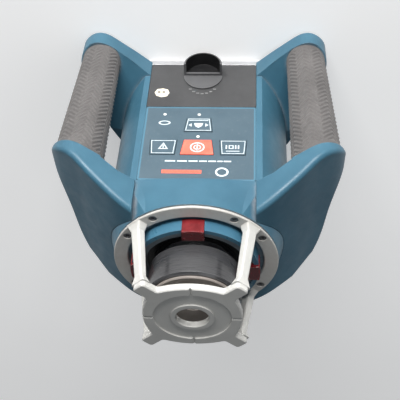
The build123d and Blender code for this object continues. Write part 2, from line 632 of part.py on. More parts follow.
for side in (-1, 1):
    coil_h = CELL_FRONT_Y - rail_y0 - 2 * SPRING_WIRE_R - 0.1
    path = Helix(pitch=coil_h / 3, height=coil_h, radius=5.0)
    coil = sweep(Plane(origin=path @ 0, z_dir=path % 0) * Circle(SPRING_WIRE_R), path=path)
    springs.append(Pos(side * CELL_X, rail_y0 + SPRING_WIRE_R + 0.05, CELL_Z) * (Rot(-90, 0, 0) * coil))
save(group(springs), "battery_springs")
bay_out = box(-BAY_HALF - BAY_WALL, BAY_HALF + BAY_WALL, FRONT_IN_Y, BAY_BACK_Y + BAY_WALL,
              BAY_LOW_Z - BAY_WALL, BAY_HIGH_Z + BAY_WALL)
bay = bay_out - box(-BAY_HALF, BAY_HALF, -60, BAY_BACK_Y, BAY_LOW_Z, BAY_HIGH_Z)
save(bay, "battery_bay")
contacts = []
for side in (-1, 1):
    leaf = box(side * CELL_X - 6, side * CELL_X + 6, BAY_BACK_Y - 0.5, BAY_BACK_Y, CELL_Z - 6, CELL_Z + 6)
    contacts.append(leaf)
save(group(contacts), "battery_contacts")
seal_ring = (
    box(-BAY_HALF - seal_out + 0.05, BAY_HALF + seal_out - 0.05, DOOR_SEAT_Y - 0.3, DOOR_SEAT_Y + SEAL_DEPTH,
        BAY_LOW_Z - seal_out + 0.05, BAY_HIGH_Z + seal_out - 0.05)
    - box(-BAY_HALF - seal_in - 0.05, BAY_HALF + seal_in + 0.05, DOOR_SEAT_Y - 1, DOOR_SEAT_Y + 2,
          BAY_LOW_Z - seal_in - 0.05, BAY_HIGH_Z + seal_in + 0.05)
)
save(seal_ring, "door_seal")

# latch: a round plate with a tall half cup on its lower side, which a finger turns
knob = rod_y(0, LATCH_Z, FRONT_Y - 1.0, FRONT_Y - GAP, LATCH_R)
cup = rod_y(0, LATCH_Z, FRONT_Y - LATCH_H, FRONT_Y - 0.9, LATCH_R)
cup = chamfer(cup.edges().filter_by(GeomType.CIRCLE).group_by(Axis.Y)[0], 0.5)
cup -= rod_y(0, LATCH_Z, FRONT_Y - LATCH_H - 1, FRONT_Y - 1.4, LATCH_R - LATCH_WALL)
knob += cup & box(-20, 20, -60, 0, LATCH_Z - 20, LATCH_Z)
lip_half = LATCH_R - LATCH_WALL / 2
knob += box(-lip_half, lip_half, FRONT_Y - LATCH_LIP_H, FRONT_Y - 0.9, LATCH_Z - LATCH_WALL, LATCH_Z)
knob += rod_y(0, LATCH_Z, FRONT_Y - 1.0, DOOR_IN_Y + 2.2, LATCH_SHAFT_R)
knob += box(-3, 3, DOOR_IN_Y + 0.35, DOOR_IN_Y + 2.2, LATCH_Z, LATCH_Z + CAM_REACH)
save(knob, "door_latch")

# ---------------------------------------------------------------- gimbal
GIMBAL_OUT = 31.0
GIMBAL_IN = 26.0
GIMBAL_HALF_H = 4.0
PIN_R = 2.0
PIN_OUT_END = 37.5
PIN_IN_END = 21.6
BRACKET_FACE = 34.0
gimbal = tube(0, 0, PIVOT_Z - GIMBAL_HALF_H, PIVOT_Z + GIMBAL_HALF_H, GIMBAL_OUT, GIMBAL_IN)
pins = []
brackets = []
for side in (-1, 1):
    x0, x1 = sorted((side * 28.0, side * PIN_OUT_END))
    pins.append(rod_x(0, PIVOT_Z, x0, x1, PIN_R))
    gimbal -= rod_x(0, PIVOT_Z, *sorted((side * 28.0, side * 40.0)), PIN_R)
    y0, y1 = sorted((side * PIN_IN_END, side * 29.0))
    pins.append(rod_y(0, PIVOT_Z, y0, y1, PIN_R))
    gimbal -= rod_y(0, PIVOT_Z, *sorted((side * 20.0, side * 29.0)), PIN_R)
    bx0, bx1 = sorted((side * BRACKET_FACE, side * 60.0))
    bracket = box(bx0, bx1, -7, 7, PIVOT_Z - 7, PIVOT_Z + 7) & turned(inner_profile)
    bracket -= rod_x(0, PIVOT_Z, *sorted((side * 30.0, side * (PIN_OUT_END + 0.4))), PIN_R + RUN)
    brackets.append(bracket)
save(gimbal, "gimbal_ring")
save(group(pins), "gimbal_pins")

# ---------------------------------------------------------------- swinging laser unit
hub_top = TOP_Z + 1.0
unit = rod(0, 0, FLANGE_LOW_Z, hub_top, HOUSING_R) + rod(0, 0, FLANGE_LOW_Z, FLANGE_LOW_Z + FLANGE_T, 25.0)
unit += rod_y(0, PIVOT_Z, -22.6, 22.6, 4.6) - rod(0, 0, FLANGE_LOW_Z, hub_top, HOUSING_R - 2)
unit -= rod(0, 0, FLANGE_LOW_Z - 1, hub_top + 1, SPINDLE_R + 1.5)
LOWER_BEARING_Z = FLANGE_LOW_Z + FLANGE_T
UPPER_BEARING_Z = hub_top - BEARING_W
unit -= rod(0, 0, FLANGE_LOW_Z - 1, LOWER_BEARING_Z + BEARING_W, BEARING_R)
unit -= rod(0, 0, UPPER_BEARING_Z, hub_top + 1, BEARING_R)
unit -= rod_y(0, PIVOT_Z, -30, 30, PIN_R + RUN)
unit += tube(0, 0, FLANGE_LOW_Z, LOWER_BEARING_Z, BEARING_R + 0.5, SPINDLE_R + 1.5)
unit -= rod_y(0, PIVOT_Z, -30, 30, PIN_R + RUN)
for px, py in ((STANDOFF_OFF, STANDOFF_OFF), (STANDOFF_OFF, -STANDOFF_OFF), (-STANDOFF_OFF, -STANDOFF_OFF)):
    unit += rod(px, py, PLATE_LOW_Z + PLATE_T, FLANGE_LOW_Z, 2.5)
save(unit, "bearing_housing")
bearings = []
for low in (LOWER_BEARING_Z, UPPER_BEARING_Z):
    ring_body = tube(0, 0, low + 0.05, low + BEARING_W - 0.05, BEARING_R - 0.05, SPINDLE_R + RUN)
    bearings.append(ring_body - tube(0, 0, low + BEARING_W - 1, low + BEARING_W + 1, 14.2, 11.2))
save(group(bearings), "spindle_bearings")

motor_x = -MOTOR_OFF
motor_y = MOTOR_OFF
plate = rod(0, 0, PLATE_LOW_Z, PLATE_LOW_Z + PLATE_T, 25.0)
plate += rod(motor_x, motor_y, PLATE_LOW_Z, PLATE_LOW_Z + PLATE_T, 11.0)
FORK_IN = 35.4
FORK_OUT = 48.0
FORK_SLOT = 6.6
FORK_HALF = 9.6
fork = box(15, FORK_OUT, -FORK_HALF, FORK_HALF, PLATE_LOW_Z, PLATE_LOW_Z + PLATE_T)
fork -= box(FORK_IN, FORK_OUT + 1, -FORK_SLOT, FORK_SLOT, PLATE_LOW_Z - 1, PLATE_LOW_Z + PLATE_T + 1)
plate += fork
plate += Rot(0, 0, 90) * fork
plate -= rod(motor_x, motor_y, PLATE_LOW_Z - 1, PLATE_LOW_Z + PLATE_T + 1, 3.0)
BARREL_R = 12.0
plate -= rod(0, 0, PLATE_LOW_Z - 1, PLATE_LOW_Z + PLATE_T + 1, BARREL_R)
save(plate, "motor_plate")
motor = rod(motor_x, motor_y, 70, PLATE_LOW_Z, 8.5) + rod(motor_x, motor_y, PLATE_LOW_Z, PLATE_LOW_Z + 1.2, 2.9)
save(motor, "spin_motor")
motor_pulley = rod(motor_x, motor_y, PULLEY_LOW_Z, PULLEY_LOW_Z + PULLEY_H, MOTOR_PULLEY_R + 1.0)
motor_pulley -= tube(motor_x, motor_y, PULLEY_LOW_Z + 1.2, PULLEY_LOW_Z + PULLEY_H - 1.2, 9, MOTOR_PULLEY_R)
motor_pulley += rod(motor_x, motor_y, PLATE_LOW_Z + PLATE_T - 1.3, PULLEY_LOW_Z, 1.2)
save(motor_pulley, "motor_pulley")
BELT_T = 1.4
BELT_OFF = 0.35


def belt_loop(grow, z0, z1):
    # two rounds joined by their outer tangents
    span = MOTOR_OFF * sqrt(2)
    big = PULLEY_R + grow
    small = MOTOR_PULLEY_R + grow
    lean = (big - small) / span
    side = sqrt(1 - lean ** 2)
    flat = plan_prism([
        (big * lean, big * side), (span + small * lean, small * side),
        (span + small * lean, -small * side), (big * lean, -big * side)], z0, z1)
    return flat + rod(0, 0, z0, z1, big) + rod(span, 0, z0, z1, small)


belt_z0 = PULLEY_LOW_Z + 1.7
belt_z1 = belt_z0 + PULLEY_H - 3.4
belt = belt_loop(BELT_OFF + BELT_T, belt_z0, belt_z1) - belt_loop(BELT_OFF, belt_z0 - 1, belt_z1 + 1)
belt = Rot(0, 0, 135) * belt
save(belt, "drive_belt")
barrel = tube(0, 0, 66, PLATE_LOW_Z + PLATE_T, BARREL_R - 0.05, 9.0)
barrel -= rod(0, 0, 84, 88.2, 10.0)
save(barrel, "collimator_barrel")
lens = rod(0, 0, 84.1, 88.1, 9.9)
save(lens, "collimator_lens")
laser = rod(0, 0, 62, 66, BARREL_R + 1.5) + rod(0, 0, 66, 74, 8.9) + rod(0, 0, 58.5, 62, 5.0)
save(laser, "laser_diode_module")
vials = []
for turn in (180, 270):
    vial = rod_x(0, PLATE_LOW_Z - 4.0, 15.5, 29.5, 3.0)
    vials.append(Rot(0, 0, turn) * vial)
save(group(vials), "tilt_sensors")

# ---------------------------------------------------------------- levelling drives, fixed in the housing
NUT_GAP = 1.7
NUT_HUB_R = 4.0
NUT_COLLAR_R = 8.6
NUT_COLLAR_T = 1.5
LEVEL_MOTOR_LOW_Z = 56.0
LEVEL_MOTOR_HIGH_Z = 78.0
LEVEL_MOTOR_R = 8.0
fork_mid = PLATE_LOW_Z + PLATE_T / 2
nut_half = PLATE_T / 2 + NUT_GAP
SCREW_TOP_Z = PIVOT_Z - 7 + 3
level_motors = []
for name_end, turn in (("x", 0), ("y", 90)):
    place = Rot(0, 0, turn)
    lead = rod(SCREW_OFF, 0, LEVEL_MOTOR_HIGH_Z - 2, SCREW_TOP_Z, SCREW_R)
    lead += rod(SCREW_OFF, 0, LEVEL_MOTOR_HIGH_Z + 1.0, LEVEL_MOTOR_HIGH_Z + 3.0, 3.4)
    save(place * lead, "level_screw_" + name_end)
    nut = rod(SCREW_OFF, 0, fork_mid - nut_half, fork_mid + nut_half, NUT_HUB_R)
    nut += rod(SCREW_OFF, 0, fork_mid + nut_half, fork_mid + nut_half + NUT_COLLAR_T, NUT_COLLAR_R)
    nut += rod(SCREW_OFF, 0, fork_mid - nut_half - NUT_COLLAR_T, fork_mid - nut_half, NUT_COLLAR_R)
    nut -= rod(SCREW_OFF, 0, fork_mid - 20, fork_mid + 20, SCREW_R + RUN)
    save(place * nut, "level_nut_" + name_end)
    drive = rod(SCREW_OFF, 0, LEVEL_MOTOR_LOW_Z, LEVEL_MOTOR_HIGH_Z, LEVEL_MOTOR_R)
    drive += box(SCREW_OFF - 3, BODY_R - WALL - 0.6, -5, 5, LEVEL_MOTOR_LOW_Z, LEVEL_MOTOR_LOW_Z + 5)
    drive -= rod(SCREW_OFF, 0, LEVEL_MOTOR_HIGH_Z - 4, LEVEL_MOTOR_HIGH_Z + 1, SCREW_R + RUN)
    level_motors.append(place * drive)
save(group(level_motors), "level_motors")
brackets[1] -= rod(SCREW_OFF, 0, 90, SCREW_TOP_Z + 0.4, SCREW_R + RUN)
top_bracket = box(-7, 7, 36, 54, PIVOT_Z - 7, PIVOT_Z - 2) & turned(inner_profile)
top_bracket -= rod(0, SCREW_OFF, 90, SCREW_TOP_Z + 0.4, SCREW_R + RUN)
save(group(brackets + [top_bracket]), "gimbal_brackets")

# ---------------------------------------------------------------- rotor
drum = rod(0, 0, ROTOR_LOW_Z, ROTOR_HIGH_Z, ROTOR_R)
drum = chamfer(drum.edges().filter_by(GeomType.CIRCLE).group_by(Axis.Z)[-1], 1.4)
drum = chamfer(drum.edges().filter_by(GeomType.CIRCLE).group_by(Axis.Z)[0], 0.6)
drum -= rod(0, 0, ROTOR_LOW_Z + 2.6, ROTOR_HIGH_Z + 1, ROTOR_R - ROTOR_WALL)
drum -= rod(0, 0, ROTOR_LOW_Z - 1, ROTOR_HIGH_Z, SPINDLE_R)
BEAM_Z = 161.0
EXIT_HALF_W = 7.0
EXIT_HALF_H = 4.6
aim = Rot(0, 0, WINDOW_ANGLE)
drum -= aim * box(20, 30, -EXIT_HALF_W, EXIT_HALF_W, BEAM_Z - EXIT_HALF_H, BEAM_Z + EXIT_HALF_H)
save(drum, "rotor_drum")
glass = box(ROTOR_R - 2.6, ROTOR_R - 1.4, -EXIT_HALF_W + 0.1, EXIT_HALF_W - 0.1,
            BEAM_Z - EXIT_HALF_H + 0.1, BEAM_Z + EXIT_HALF_H - 0.1)
cap_plate = rod(0, 0, ROTOR_HIGH_Z - 1.6, CAP_TOP_Z, CAP_R)
cap_plate = chamfer(cap_plate.edges().filter_by(GeomType.CIRCLE).group_by(Axis.Z)[-1], 0.6)
cap_plate -= rod(0, 0, ROTOR_LOW_Z, CAP_TOP_Z + 1, PLUMB_R)
cap_plate += tube(0, 0, ROTOR_HIGH_Z - 1.6, ROTOR_HIGH_Z - 0.6, PLUMB_R + 0.5, PLUMB_R - 1.5)
save(cap_plate, "rotor_cap")
plumb_glass = rod(0, 0, ROTOR_HIGH_Z - 0.6, CAP_TOP_Z - 0.6, PLUMB_R - 0.05)
save(group([aim * glass, plumb_glass]), "rotor_windows")
spindle = tube(0, 0, PULLEY_LOW_Z, ROTOR_LOW_Z + 2.6, SPINDLE_R - 0.02, SPINDLE_BORE)
spindle += tube(0, 0, ROTOR_LOW_Z - 2.2, ROTOR_LOW_Z, 13.0, SPINDLE_BORE)
save(spindle, "spindle")
pulley = rod(0, 0, PULLEY_LOW_Z, PULLEY_LOW_Z + PULLEY_H, PULLEY_R + 1.0)
pulley -= tube(0, 0, PULLEY_LOW_Z + 1.2, PULLEY_LOW_Z + PULLEY_H - 1.2, 20, PULLEY_R)
pulley -= rod(0, 0, 90, 120, SPINDLE_R)
save(pulley, "rotor_pulley")
PRISM_HALF = 8.0
PRISM_LOW_Z = BEAM_Z - 5.4
prism_points = [
    (-PRISM_HALF, PRISM_LOW_Z), (PRISM_HALF, PRISM_LOW_Z), (PRISM_HALF, PRISM_LOW_Z + 11.0),
    (1.0, PRISM_LOW_Z + 12.4), (-PRISM_HALF, PRISM_LOW_Z + 8.0),
]
save(aim * front_prism(prism_points, -7, 7), "pentaprism")
PRISM_WALL = 1.2
holder = box(-11, 11, -8.4, 8.4, ROTOR_LOW_Z + 2.6, BEAM_Z + 7.2)
holder -= box(-PRISM_HALF - 0.2, 12, -7.1, 7.1, PRISM_LOW_Z, BEAM_Z + 8)
holder -= rod(0, 0, 140, PRISM_LOW_Z + 1, SPINDLE_BORE)
save(aim * holder, "prism_holder")
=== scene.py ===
import math

import bmesh
import bpy
from mathutils import Matrix, Vector


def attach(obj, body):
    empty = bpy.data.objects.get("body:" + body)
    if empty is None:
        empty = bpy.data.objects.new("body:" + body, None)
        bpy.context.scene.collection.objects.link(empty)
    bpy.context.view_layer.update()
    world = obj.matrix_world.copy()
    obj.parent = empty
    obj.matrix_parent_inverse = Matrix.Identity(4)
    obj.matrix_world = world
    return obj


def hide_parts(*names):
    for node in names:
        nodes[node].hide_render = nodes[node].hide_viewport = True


MM = 0.001
LATCH_AXIS_Z = 18.1
LATCH_CUP_R = 11.9
LATCH_LEDGE_Z = 16.8
COVER_GREY_R = 30.0
NECK_OUT_R = 39.2
BORDER_HALF = 34.7
BORDER_TOP_Z = 113.5
BORDER_LOW_Z = 50.2

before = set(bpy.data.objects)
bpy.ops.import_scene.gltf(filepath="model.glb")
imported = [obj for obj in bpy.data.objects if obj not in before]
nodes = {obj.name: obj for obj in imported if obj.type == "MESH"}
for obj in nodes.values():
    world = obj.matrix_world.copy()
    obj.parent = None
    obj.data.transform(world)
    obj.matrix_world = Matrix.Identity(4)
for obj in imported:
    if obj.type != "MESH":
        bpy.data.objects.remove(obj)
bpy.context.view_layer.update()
scene = bpy.context.scene


# ---------------------------------------------------------------- node helpers
class Maker:
    """Builds one procedural material with object coordinates in millimetres."""

    def __init__(self, name):
        self.mat = bpy.data.materials.new(name)
        self.mat.use_nodes = True
        self.tree = self.mat.node_tree
        self.tree.nodes.clear()
        self.out = self.add("ShaderNodeOutputMaterial")
        self.shader = self.add("ShaderNodeBsdfPrincipled")
        self.link(self.shader.outputs["BSDF"], self.out.inputs["Surface"])
        coords = self.add("ShaderNodeTexCoord")
        scale = self.add("ShaderNodeVectorMath")
        scale.operation = "SCALE"
        scale.inputs["Scale"].default_value = 1000.0
        self.link(coords.outputs["Object"], scale.inputs[0])
        self.pos = scale.outputs["Vector"]
        split = self.add("ShaderNodeSeparateXYZ")
        self.link(self.pos, split.inputs["Vector"])
        self.x = split.outputs["X"]
        self.y = split.outputs["Y"]
        self.z = split.outputs["Z"]

    def add(self, kind):
        return self.tree.nodes.new(kind)

    def link(self, a, b):
        self.tree.links.new(a, b)

    def put(self, socket, value):
        if isinstance(value, bpy.types.NodeSocket):
            self.link(value, socket)
        else:
            socket.default_value = value

    def math(self, operation, a, b=0.0, c=0.0, clamp=False):
        node = self.add("ShaderNodeMath")
        node.operation = operation
        node.use_clamp = clamp
        for socket, value in zip(node.inputs, (a, b, c)):
            self.put(socket, value)
        return node.outputs[0]

    def noise(self, scale, detail=3.0, rough=0.55, stretch=None):
        node = self.add("ShaderNodeTexNoise")
        node.inputs["Scale"].default_value = scale
        node.inputs["Detail"].default_value = detail
        node.inputs["Roughness"].default_value = rough
        if stretch is None:
            self.link(self.pos, node.inputs["Vector"])
        else:
            mul = self.add("ShaderNodeVectorMath")
            mul.operation = "MULTIPLY"
            self.link(self.pos, mul.inputs[0])
            mul.inputs[1].default_value = stretch
            self.link(mul.outputs["Vector"], node.inputs["Vector"])
        return node.outputs["Fac"]

    def ramp(self, fac, low, high, to_low=0.0, to_high=1.0):
        node = self.add("ShaderNodeMapRange")
        self.put(node.inputs["Value"], fac)
        node.inputs["From Min"].default_value = low
        node.inputs["From Max"].default_value = high
        node.inputs["To Min"].default_value = to_low
        node.inputs["To Max"].default_value = to_high
        return node.outputs["Result"]

    def mix(self, fac, a, b):
        node = self.add("ShaderNodeMix")
        node.data_type = "RGBA"
        self.put(node.inputs[0], fac)
        for socket, value in ((node.inputs[6], a), (node.inputs[7], b)):
            self.put(socket, (*value, 1.0) if isinstance(value, tuple) else value)
        return node.outputs[2]

    def edges(self, radius):
        # 1 on every rim, 0 on flat faces; the paler colour laid on with this is partly scuffing and partly
        # painted highlight
        bevel = self.add("ShaderNodeBevel")
        bevel.samples = 4
        bevel.inputs["Radius"].default_value = radius * MM
        geo = self.add("ShaderNodeNewGeometry")
        dot = self.add("ShaderNodeVectorMath")
        dot.operation = "DOT_PRODUCT"
        self.link(bevel.outputs["Normal"], dot.inputs[0])
        self.link(geo.outputs["Normal"], dot.inputs[1])
        return self.ramp(dot.outputs["Value"], 0.995, 0.90)

    def crevice(self, distance):
        # 1 deep in corners, 0 on open faces
        node = self.add("ShaderNodeAmbientOcclusion")
        node.samples = 6
        node.inputs["Distance"].default_value = distance * MM
        return self.ramp(node.outputs["AO"], 0.80, 0.35)

    def tint(self, fac, colour):
        tone = self.shader.inputs["Base Color"].links[0].from_socket
        self.put(self.shader.inputs["Base Color"], self.mix(fac, tone, colour))

    def bump(self, height, distance, strength=1.0, rounded=0.0):
        node = self.add("ShaderNodeBump")
        node.inputs["Strength"].default_value = strength
        node.inputs["Distance"].default_value = distance * MM
        self.put(node.inputs["Height"], height)
        if rounded:
            bevel = self.add("ShaderNodeBevel")
            bevel.samples = 4
            bevel.inputs["Radius"].default_value = rounded * MM
            self.link(bevel.outputs["Normal"], node.inputs["Normal"])
        self.link(node.outputs["Normal"], self.shader.inputs["Normal"])

    def set(self, **values):
        names = {
            "color": "Base Color", "rough": "Roughness", "metal": "Metallic", "coat": "Coat Weight",
            "coat_rough": "Coat Roughness", "spec": "Specular IOR Level", "trans": "Transmission Weight",
            "sheen": "Sheen Weight",
        }
        for key, value in values.items():
            socket = self.shader.inputs[names[key]]
            self.put(socket, (*value, 1.0) if isinstance(value, tuple) else value)
        return self.mat

    def far_from_axis(self, across, along):
        # distance from an axis at right angles to the two coordinates
        squares = [self.math("POWER", value, 2.0) for value in (across, along)]
        return self.math("SQRT", self.math("ADD", *squares))


def moulded(name, dark, light, rough, grain, dirt, wear_highlight_amount, rounded, grain_size=3.0):
    """Moulded plastic: slow colour drift, fine spark-eroded grain, dust and paler rims, partly scuffing and
    partly painted highlight.
    """
    m = Maker(name)
    drift = m.ramp(m.noise(0.035, 4.0), 0.35, 0.65)
    base = m.mix(drift, dark, light)
    scuffs = m.ramp(m.noise(0.5, 6.0, 0.7, (1.0, 1.0, 0.25)), 0.62, 0.74)
    dust_tone = tuple(min(1.0, c * 0.7 + 0.16) for c in light)
    base = m.mix(m.math("MULTIPLY", scuffs, dirt), base, dust_tone)
    # paler rims: partly scuffing, partly painted highlight
    patchy_mask = m.math("MULTIPLY", m.edges(0.9), m.ramp(m.noise(0.25, 3.0), 0.35, 0.7), clamp=True)
    wear_highlight_tone = tuple(min(1.0, c * 1.25 + 0.10) for c in light)
    base = m.mix(m.math("MULTIPLY", patchy_mask, wear_highlight_amount), base, wear_highlight_tone)
    fine = m.noise(grain_size, 2.0, 0.6)
    m.bump(fine, grain, 1.0, rounded)
    gloss = m.ramp(m.noise(0.12, 5.0), 0.3, 0.7, rough - 0.05, rough + 0.09)
    m.set(color=base, rough=gloss)
    return m


def metal(name, tone, rough, grain=0.01, stretch=(1.0, 1.0, 1.0)):
    """Bare metal: cloudy tone, fine lines along the stretch and paler rims, partly scuffing and partly
    painted highlight.
    """
    m = Maker(name)
    cloud = m.ramp(m.noise(0.08, 5.0), 0.3, 0.7)
    dark = tuple(c * 0.86 for c in tone)
    base = m.mix(cloud, dark, tone)
    wear_highlight_tone = tuple(min(1.0, c * 1.15 + 0.05) for c in tone)
    # paler rims: partly scuffing, partly painted highlight
    base = m.mix(m.math("MULTIPLY", m.edges(0.5), 0.5), base, wear_highlight_tone)
    lines = m.noise(2.0, 3.0, 0.6, stretch)
    m.bump(lines, grain, 1.0, 0.25)
    return m.set(color=base, metal=1.0, rough=m.ramp(lines, 0.3, 0.7, rough - 0.06, rough + 0.08))


def dusty_creases(m):
    depth = m.crevice(4.0)
    patches = m.ramp(m.noise(0.3, 4.0), 0.3, 0.7, 0.4, 1.0)
    m.tint(m.math("MULTIPLY", depth, patches), DUST)
    m.set(spec=0.42)


mats = {}

# housing: petrol blue ABS with a parting line round the middle and pale dust in the creases
BLUE_DARK = (0.036, 0.112, 0.168)
BLUE_LIGHT = (0.047, 0.136, 0.198)
DUST = (0.24, 0.27, 0.30)
m = moulded("housing_blue", BLUE_DARK, BLUE_LIGHT, 0.42, 0.012, 0.12, 0.5, 0.8)
parting = m.math("LESS_THAN", m.math("ABSOLUTE", m.y), 0.2)
m.tint(m.math("MULTIPLY", parting, 0.75), (0.012, 0.035, 0.05))
dusty_creases(m)
mats["housing"] = m.mat
m = moulded("handle_blue", BLUE_DARK, BLUE_LIGHT, 0.40, 0.012, 0.16, 0.6, 0.8)
dusty_creases(m)
mats["handle"] = m.mat
NECK_DARK = (0.042, 0.128, 0.196)
NECK_LIGHT = (0.056, 0.160, 0.238)
mats["neck"] = moulded("neck_blue", NECK_DARK, NECK_LIGHT, 0.30, 0.01, 0.25, 0.5, 0.4).mat

# cast cage: light grey paint; the ring is darkened in patches, partly dust lying on it and partly painted
# shade
CAGE_DARK = (0.50, 0.495, 0.475)
CAGE_LIGHT = (0.57, 0.565, 0.54)
m = moulded("cage_paint", CAGE_DARK, CAGE_LIGHT, 0.42, 0.02, 0.20, 0.35, 0.7, 2.0)
ring_dust_shade_mask = m.ramp(m.z, 147.0, 144.2)
dusty = m.ramp(m.noise(0.35, 5.0, 0.65), 0.35, 0.62, 0.25, 0.7)
# the low ring is tinted darker in patches: partly dust, partly painted shade
m.tint(m.math("MULTIPLY", ring_dust_shade_mask, dusty), (0.46, 0.44, 0.41))
mats["cage"] = m.mat

mats["base"] = metal("base_aluminium", (0.72, 0.72, 0.73), 0.34, 0.006, (0.2, 3.0, 3.0))
mats["brass"] = metal("insert_brass", (0.70, 0.52, 0.25), 0.3)
mats["screw"] = metal("screw_steel", (0.22, 0.22, 0.23), 0.38)
mats["steel"] = metal("bright_steel", (0.62, 0.62, 0.63), 0.25)
mats["diecast"] = metal("diecast", (0.52, 0.53, 0.55), 0.5, 0.03)
mats["motor"] = metal("motor_can", (0.45, 0.45, 0.47), 0.32, 0.01, (1.0, 1.0, 6.0))

# control panel: blue-grey film with a pale blue border line
PANEL_DARK = (0.052, 0.090, 0.118)
PANEL_LIGHT = (0.067, 0.108, 0.138)
m = Maker("panel_film")
cloud = m.ramp(m.noise(0.06, 4.0), 0.3, 0.7)
base = m.mix(cloud, PANEL_DARK, PANEL_LIGHT)
edge_x = m.math("GREATER_THAN", m.math("ABSOLUTE", m.x), BORDER_HALF)
edge_top = m.math("GREATER_THAN", m.z, BORDER_TOP_Z)
edge_low = m.math("LESS_THAN", m.z, BORDER_LOW_Z)
edge_any = m.math("MAXIMUM", edge_x, m.math("MAXIMUM", edge_top, edge_low))
base = m.mix(m.math("MULTIPLY", edge_any, 0.9), base, (0.065, 0.175, 0.250))
smudge = m.math("MULTIPLY", m.ramp(m.noise(0.4, 6.0, 0.7), 0.58, 0.72), 0.16)
base = m.mix(smudge, base, (0.28, 0.30, 0.31))
m.bump(m.noise(4.0, 2.0), 0.008, 1.0, 0.2)
mats["panel"] = m.set(color=base, rough=m.ramp(m.noise(0.2, 5.0), 0.3, 0.7, 0.34, 0.5))

m = Maker("key_film")
base = m.mix(m.ramp(m.noise(0.06, 4.0), 0.3, 0.7), PANEL_DARK, PANEL_LIGHT)
m.bump(m.noise(4.0, 2.0), 0.008, 1.0, 0.25)
mats["key"] = m.set(color=base, rough=0.4)
m = Maker("power_key_film")
base = m.mix(m.ramp(m.noise(0.15, 4.0), 0.3, 0.7), (0.80, 0.118, 0.076), (0.88, 0.170, 0.115))
m.bump(m.noise(4.0, 2.0), 0.008, 1.0, 0.25)
mats["power"] = m.set(color=base, rough=0.42)

# battery door: dark grey with a leather grain
DOOR_DARK = (0.038, 0.038, 0.040)
DOOR_LIGHT = (0.052, 0.052, 0.054)
mats["door"] = moulded("door_grey", DOOR_DARK, DOOR_LIGHT, 0.52, 0.05, 0.30, 0.4, 0.4, 1.3).mat

# latch: grey; down inside the finger cup it is tinted near-black as painted shade
LATCH_DARK = (0.078, 0.078, 0.082)
LATCH_LIGHT = (0.100, 0.100, 0.104)
m = moulded("latch_grey", LATCH_DARK, LATCH_LIGHT, 0.42, 0.015, 0.25, 0.6, 0.3)
off_axis = m.far_from_axis(m.x, m.math("SUBTRACT", m.z, LATCH_AXIS_Z))
cup_shade_mask = m.math("LESS_THAN", off_axis, LATCH_CUP_R)
ledge_shade_mask = m.math("LESS_THAN", m.z, LATCH_LEDGE_Z)
# painted shade: the deep cup below the ledge is tinted near-black
m.tint(m.math("MULTIPLY", cup_shade_mask, ledge_shade_mask), (0.006, 0.006, 0.007))
mats["latch"] = m.mat

# rotor drum: glossy black with turned dust rings; the paler grey on its rims is a painted highlight
m = Maker("drum_black")
rings = m.noise(0.6, 4.0, 0.6, (0.15, 0.15, 5.0))
base = m.mix(m.ramp(rings, 0.3, 0.7), (0.030, 0.030, 0.032), (0.050, 0.050, 0.053))
# painted highlight: paler grey on the drum's rims
base = m.mix(m.math("MULTIPLY", m.edges(0.6), 0.6), base, (0.20, 0.20, 0.21))
m.bump(rings, 0.008, 1.0, 0.35)
mats["drum"] = m.set(color=base, rough=m.ramp(rings, 0.3, 0.7, 0.24, 0.34), coat=0.6, coat_rough=0.12)

COVER_DARK = (0.12, 0.145, 0.165)
COVER_LIGHT = (0.16, 0.185, 0.205)
m = moulded("cover_grey", COVER_DARK, COVER_LIGHT, 0.42, 0.02, 0.3, 0.5, 0.3)
# painted shadow of the drum: the band of the cover next to the drum, inside COVER_GREY_R, is tinted
# near-black
m.tint(m.math("LESS_THAN", m.far_from_axis(m.x, m.y), COVER_GREY_R), (0.008, 0.009, 0.010))
mats["cover"] = m.mat

# plain mouldings: name, dark tone, light tone, then the numbers that moulded() takes
PLAIN = {
    "cap": ("cap_grey", (0.20, 0.175, 0.16), (0.26, 0.23, 0.21), 0.35, 0.01, 0.3, 0.5, 0.3),
    "black": ("inner_black", (0.02, 0.02, 0.02), (0.035, 0.035, 0.035), 0.5, 0.02, 0.15, 0.4, 0.3),
    "nylon": ("nylon", (0.62, 0.60, 0.53), (0.70, 0.68, 0.60), 0.45, 0.01, 0.1, 0.2, 0.3),
    "rubber": ("foot_rubber", (0.018,) * 3, (0.032,) * 3, 0.75, 0.05, 0.35, 0.5, 0.4, 2.2),
    "board": ("board_green", (0.012, 0.11, 0.045), (0.02, 0.15, 0.06), 0.3, 0.01, 0.05, 0.2, 0.1),
    "cell": ("cell_sleeve", (0.05, 0.15, 0.12), (0.07, 0.19, 0.15), 0.3, 0.004, 0.05, 0.2, 0.3),
}
for key, row in PLAIN.items():
    mats[key] = moulded(*row).mat

# receiver windows: deep red tinted plastic; the inner face looking down into the neck is darkened as
# painted shade
m = Maker("window_red")
base = m.mix(m.ramp(m.noise(0.2, 3.0), 0.35, 0.65), (0.13, 0.010, 0.013), (0.21, 0.022, 0.026))
shaded_inner_face = m.ramp(m.far_from_axis(m.x, m.y), NECK_OUT_R, NECK_OUT_R - 1.0)
# painted shade on the inner face
base = m.mix(m.math("MULTIPLY", shaded_inner_face, 0.75), base, (0.07, 0.004, 0.006))
m.bump(m.noise(0.8, 2.0), 0.02, 1.0, 0.6)
gloss = m.ramp(m.noise(0.5, 4.0), 0.3, 0.7, 0.06, 0.16)
mats["window"] = m.set(color=base, rough=gloss, coat=0.8, coat_rough=0.05)

m = Maker("clear_glass")
tint = m.mix(m.ramp(m.noise(0.3, 2.0), 0.3, 0.7), (0.86, 0.93, 0.95), (0.92, 0.97, 0.98))
mats["glass"] = m.set(color=tint, rough=0.04, trans=0.9)
m = Maker("status_lens")
tint = m.mix(m.ramp(m.noise(0.9, 2.0), 0.3, 0.7), (0.62, 0.64, 0.62), (0.78, 0.80, 0.78))
mats["lens"] = m.set(color=tint, rough=0.18, coat=0.5)

